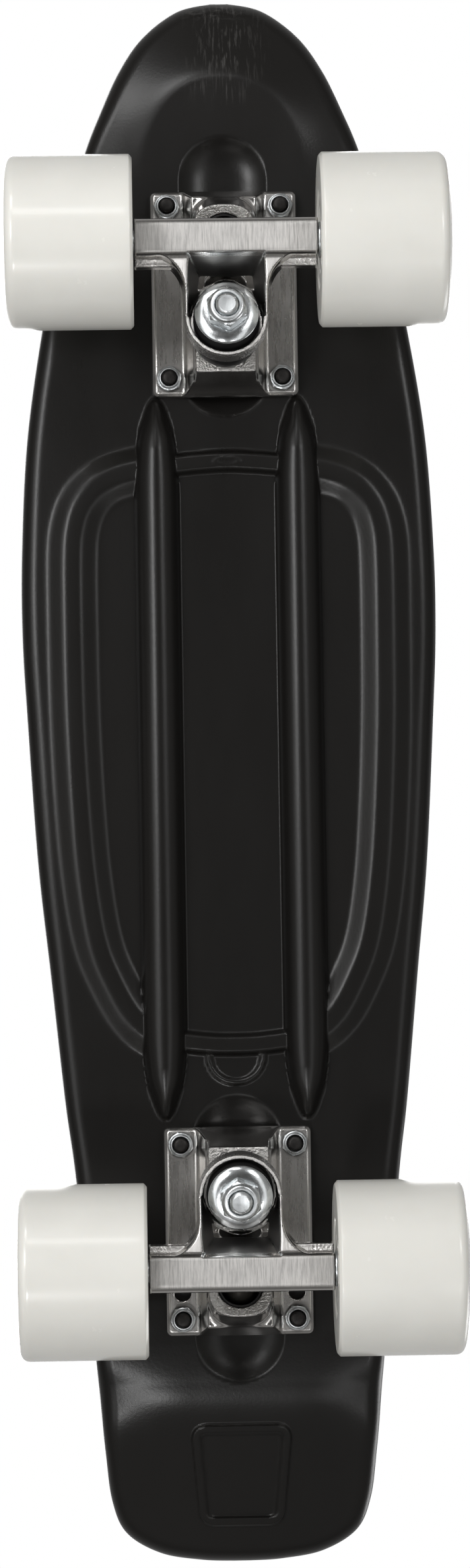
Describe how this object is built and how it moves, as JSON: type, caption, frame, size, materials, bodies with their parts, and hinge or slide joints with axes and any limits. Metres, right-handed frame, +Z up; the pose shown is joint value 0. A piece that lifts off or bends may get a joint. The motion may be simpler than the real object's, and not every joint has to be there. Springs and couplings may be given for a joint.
{
  "type": "skateboard",
  "caption": "Small plastic cruiser skateboard: black moulded deck with a kicktail, aluminium trucks and cream-white urethane wheels.",
  "frame": {"origin": "on the ground under the middle of the board, at the centre of the box's lowest face", "axes": "+Z up, +Y toward the nose, X across the board; the board stands on its wheels"},
  "size_m": [0.154, 0.56, 0.11],
  "materials": {
    "deck_plastic": "black moulded plastic, satin, with a fine non-slip pattern on top",
    "truck_aluminium": "cast aluminium, polished and slightly grained",
    "zinc_steel": "bright zinc plate",
    "black_steel": "black oxide",
    "black_rubber": "black urethane rubber",
    "wheel_urethane": "cream-white cast urethane, smooth and glossy",
    "steel": "ground steel"
  },
  "bodies": {
    "board": {"deck": "deck_plastic", "front_baseplate": "truck_aluminium", "front_pivot_cup": "black_rubber", "front_kingpin": "zinc_steel", "front_kingpin_nut": "zinc_steel", "front_cup_washer": "zinc_steel", "front_bushing_board": "black_rubber", "front_bushing_road": "black_rubber", "front_bolt_1": "black_steel", "front_nut_1": "zinc_steel", "front_bolt_2": "black_steel", "front_nut_2": "zinc_steel", "front_bolt_3": "black_steel", "front_nut_3": "zinc_steel", "front_bolt_4": "black_steel", "front_nut_4": "zinc_steel", "rear_baseplate": "truck_aluminium", "rear_pivot_cup": "black_rubber", "rear_kingpin": "zinc_steel", "rear_kingpin_nut": "zinc_steel", "rear_cup_washer": "zinc_steel", "rear_bushing_board": "black_rubber", "rear_bushing_road": "black_rubber", "rear_bolt_1": "black_steel", "rear_nut_1": "zinc_steel", "rear_bolt_2": "black_steel", "rear_nut_2": "zinc_steel", "rear_bolt_3": "black_steel", "rear_nut_3": "zinc_steel", "rear_bolt_4": "black_steel", "rear_nut_4": "zinc_steel"},
    "front_truck": {"front_hanger": "truck_aluminium", "front_axle": "steel", "front_left_axle_nut": "zinc_steel", "front_left_washer_inner": "zinc_steel", "front_left_washer_outer": "zinc_steel", "front_right_axle_nut": "zinc_steel", "front_right_washer_inner": "zinc_steel", "front_right_washer_outer": "zinc_steel"},
    "rear_truck": {"rear_hanger": "truck_aluminium", "rear_axle": "steel", "rear_left_axle_nut": "zinc_steel", "rear_left_washer_inner": "zinc_steel", "rear_left_washer_outer": "zinc_steel", "rear_right_axle_nut": "zinc_steel", "rear_right_washer_inner": "zinc_steel", "rear_right_washer_outer": "zinc_steel"},
    "front_left": {"front_left_wheel": "wheel_urethane", "front_left_bearing_inner": "steel", "front_left_bearing_outer": "steel"},
    "front_right": {"front_right_wheel": "wheel_urethane", "front_right_bearing_inner": "steel", "front_right_bearing_outer": "steel"},
    "rear_left": {"rear_left_wheel": "wheel_urethane", "rear_left_bearing_inner": "steel", "rear_left_bearing_outer": "steel"},
    "rear_right": {"rear_right_wheel": "wheel_urethane", "rear_right_bearing_inner": "steel", "rear_right_bearing_outer": "steel"}
  },
  "joints": [
    {"name": "front_steer", "type": "hinge", "parent": "board", "child": "front_truck", "pos_m": [0, 0.1903, 0.0623], "axis": [0, 0.8641, 0.5033], "range_deg": [-10, 10], "stiffness_Nm_per_rad": 40, "deforming": ["front_bushing_board", "front_bushing_road"]},
    {"name": "rear_steer", "type": "hinge", "parent": "board", "child": "rear_truck", "pos_m": [0, -0.1803, 0.0623], "axis": [0, -0.8641, 0.5033], "range_deg": [-10, 10], "stiffness_Nm_per_rad": 40, "deforming": ["rear_bushing_board", "rear_bushing_road"]},
    {"name": "front_left_spin", "type": "hinge", "parent": "front_truck", "child": "front_left", "pos_m": [-0.0545, 0.1817, 0.03], "axis": [1, 0, 0], "continuous": true},
    {"name": "front_right_spin", "type": "hinge", "parent": "front_truck", "child": "front_right", "pos_m": [0.0545, 0.1817, 0.03], "axis": [1, 0, 0], "continuous": true},
    {"name": "rear_left_spin", "type": "hinge", "parent": "rear_truck", "child": "rear_left", "pos_m": [-0.0545, -0.1717, 0.03], "axis": [1, 0, 0], "continuous": true},
    {"name": "rear_right_spin", "type": "hinge", "parent": "rear_truck", "child": "rear_right", "pos_m": [0.0545, -0.1717, 0.03], "axis": [1, 0, 0], "continuous": true}
  ]
}
